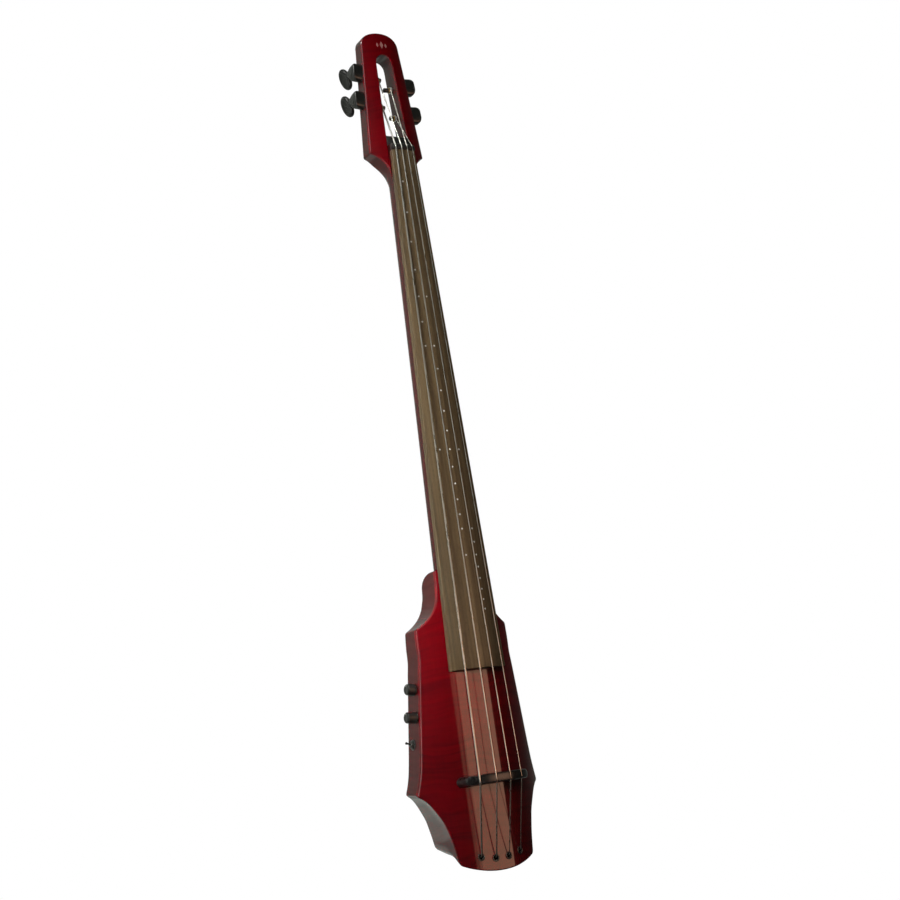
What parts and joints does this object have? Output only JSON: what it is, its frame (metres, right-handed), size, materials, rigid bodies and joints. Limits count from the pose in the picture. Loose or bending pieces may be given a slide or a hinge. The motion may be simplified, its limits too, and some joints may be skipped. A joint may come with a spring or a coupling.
{
  "type": "electric upright bass",
  "caption": "Electric upright double bass with a small solid flame-maple body, slotted head, bare fingerboard, bridge and side controls.",
  "frame": {"origin": "centre of the flat outer face of the stand mount on the back of the body", "axes": "+Z runs along the strings towards the head, +Y points out of the back towards the stand, -Y is the playing side, +X is the thin-string side"},
  "size_m": [0.2267, 0.1284, 1.4318],
  "materials": {
    "stained_maple": "clear gloss lacquer over red-stained flame maple",
    "neck_maple": "satin-gloss lacquer over red-stained maple",
    "board": "oiled, satin, lengthwise grain",
    "black_plastic": "satin black",
    "black_metal": "satin black plating",
    "steel": "bright nickel",
    "brass": "bare, slightly tarnished",
    "string_winding": "flat-wound steel tape",
    "circuit_board": "green solder mask",
    "rubber": "matt black jacket"
  },
  "bodies": {
    "bass": {"body_core": "stained_maple", "body_top": "stained_maple", "neck": "neck_maple", "headstock_face": "stained_maple", "fingerboard": "board", "nut": "black_plastic", "nut_shelf": "black_plastic", "truss_rod": "steel", "bridge": "black_plastic", "bridge_pickup": "brass", "e_string_anchor": "black_metal", "a_string_anchor": "black_metal", "d_string_anchor": "black_metal", "g_string_anchor": "black_metal", "e_string": "string_winding", "a_string": "string_winding", "d_string": "string_winding", "g_string": "string_winding", "e_tuner_housing": "black_metal", "a_tuner_housing": "black_metal", "d_tuner_housing": "black_metal", "g_tuner_housing": "black_metal", "volume_pot": "steel", "tone_pot": "steel", "switch_body": "steel", "switch_nut": "black_metal", "output_jack": "steel", "jack_nut": "black_metal", "cavity_cover": "black_plastic", "cover_screw_1": "black_metal", "cover_screw_2": "black_metal", "cover_screw_3": "black_metal", "cover_screw_4": "black_metal", "preamp_board": "circuit_board", "battery": "black_plastic", "pickup_lead": "rubber", "stand_mount_plate": "black_metal", "stand_screw_1": "black_metal", "stand_screw_2": "black_metal"},
    "e_post": {"e_tuner_post": "black_metal", "e_tuner_wheel": "brass"},
    "e_button": {"e_tuner_worm": "steel", "e_tuner_button": "black_plastic"},
    "a_post": {"a_tuner_post": "black_metal", "a_tuner_wheel": "brass"},
    "a_button": {"a_tuner_worm": "steel", "a_tuner_button": "black_plastic"},
    "d_post": {"d_tuner_post": "black_metal", "d_tuner_wheel": "brass"},
    "d_button": {"d_tuner_worm": "steel", "d_tuner_button": "black_plastic"},
    "g_post": {"g_tuner_post": "black_metal", "g_tuner_wheel": "brass"},
    "g_button": {"g_tuner_worm": "steel", "g_tuner_button": "black_plastic"},
    "volume_control": {"volume_knob": "black_metal", "volume_shaft": "steel"},
    "tone_control": {"tone_knob": "black_metal", "tone_shaft": "steel"},
    "switch_lever": {"switch_lever": "steel"}
  },
  "joints": [
    {"name": "e_post_turn", "type": "hinge", "parent": "bass", "child": "e_post", "pos_m": [-0.05717, -0.0765, 1.18389], "axis": [-0.9972, 0, 0.0743], "continuous": true},
    {"name": "e_button_turn", "type": "hinge", "parent": "bass", "child": "e_button", "pos_m": [-0.0565, -0.0525, 1.19277], "axis": [0, 1, 0], "continuous": true},
    {"name": "a_post_turn", "type": "hinge", "parent": "bass", "child": "a_post", "pos_m": [-0.05329, -0.0765, 1.23589], "axis": [-0.9972, 0, 0.0743], "continuous": true},
    {"name": "a_button_turn", "type": "hinge", "parent": "bass", "child": "a_button", "pos_m": [-0.05263, -0.0525, 1.24477], "axis": [0, 1, 0], "continuous": true},
    {"name": "d_post_turn", "type": "hinge", "parent": "bass", "child": "d_post", "pos_m": [0.0546, -0.0765, 1.21839], "axis": [0.9972, 0, 0.0743], "continuous": true},
    {"name": "d_button_turn", "type": "hinge", "parent": "bass", "child": "d_button", "pos_m": [0.05393, -0.0525, 1.22727], "axis": [0, 1, 0], "continuous": true},
    {"name": "g_post_turn", "type": "hinge", "parent": "bass", "child": "g_post", "pos_m": [0.05854, -0.0765, 1.16539], "axis": [0.9972, 0, 0.0743], "continuous": true},
    {"name": "g_button_turn", "type": "hinge", "parent": "bass", "child": "g_button", "pos_m": [0.05788, -0.0525, 1.17427], "axis": [0, 1, 0], "continuous": true},
    {"name": "volume_turn", "type": "hinge", "parent": "bass", "child": "volume_control", "pos_m": [-0.09066, -0.046, 0.179], "axis": [-0.9948, 0, 0.1018], "range_deg": [-150, 150]},
    {"name": "tone_turn", "type": "hinge", "parent": "bass", "child": "tone_control", "pos_m": [-0.09516, -0.046, 0.135], "axis": [-0.9948, 0, 0.1018], "range_deg": [-150, 150]},
    {"name": "switch_throw", "type": "hinge", "parent": "bass", "child": "switch_lever", "pos_m": [-0.09955, -0.033, 0.09402], "axis": [0, 1, 0], "range_deg": [-26, 0]}
  ],
  "couplings": [
    {"joint": "e_post_turn", "follows": "e_button_turn", "ratio": 0.055556},
    {"joint": "a_post_turn", "follows": "a_button_turn", "ratio": 0.055556},
    {"joint": "d_post_turn", "follows": "d_button_turn", "ratio": 0.055556},
    {"joint": "g_post_turn", "follows": "g_button_turn", "ratio": 0.055556}
  ]
}
